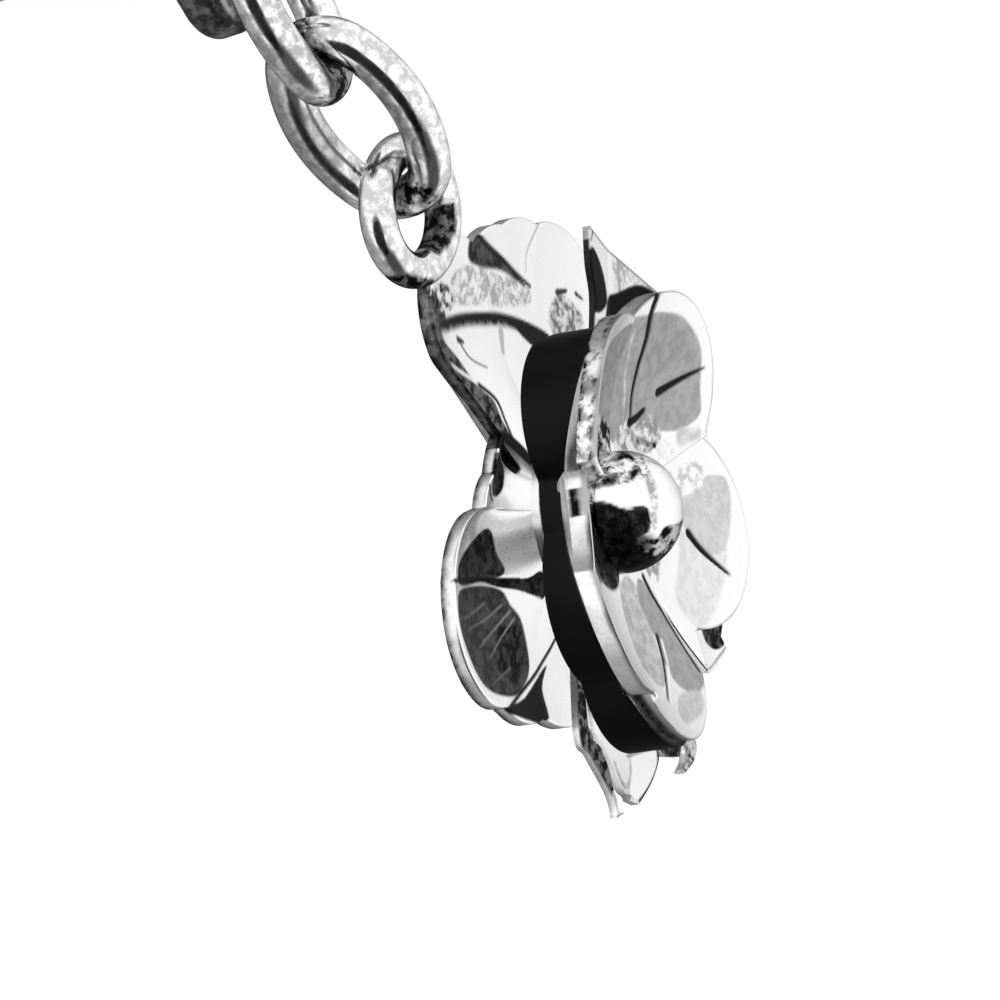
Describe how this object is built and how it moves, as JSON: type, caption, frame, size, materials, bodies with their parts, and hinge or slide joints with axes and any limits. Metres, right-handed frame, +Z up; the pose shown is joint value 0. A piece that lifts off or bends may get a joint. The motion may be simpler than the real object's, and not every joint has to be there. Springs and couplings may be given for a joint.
{
  "type": "drop earring",
  "caption": "Drop earring: a layered silver flower with an engraved blossom and a blackened cup, hung from a plain oblong stud by oval links.",
  "frame": {"origin": "middle of the button's back face, where the earring sits on the front of the ear lobe", "axes": "+Z up, against the way the flower hangs; +Y back through the ear along the post; the flower faces -Y; +X to the right of someone facing the flower"},
  "size_m": [0.0218, 0.0178, 0.0423],
  "materials": {
    "polished_silver": "polished sterling silver, light wear",
    "petal_silver": "polished sterling silver with darkened creases",
    "engraved_silver": "polished sterling silver with blackened engraved veins",
    "blackened_silver": "oxidised silver, near black, satin"
  },
  "bodies": {
    "hanger": {"ear_stud": "polished_silver", "upper_link": "polished_silver", "lower_link": "polished_silver"},
    "drop": {"back_petals": "petal_silver", "leaf_sheet": "petal_silver", "calyx": "blackened_silver", "front_blossom": "engraved_silver", "centre_rivet": "polished_silver"}
  },
  "joints": [
    {"name": "drop_swing", "type": "hinge", "parent": "hanger", "child": "drop", "pos_m": [0, -0.00315, -0.01226], "axis": [0, 1, 0], "range_deg": [-60, 60]}
  ]
}
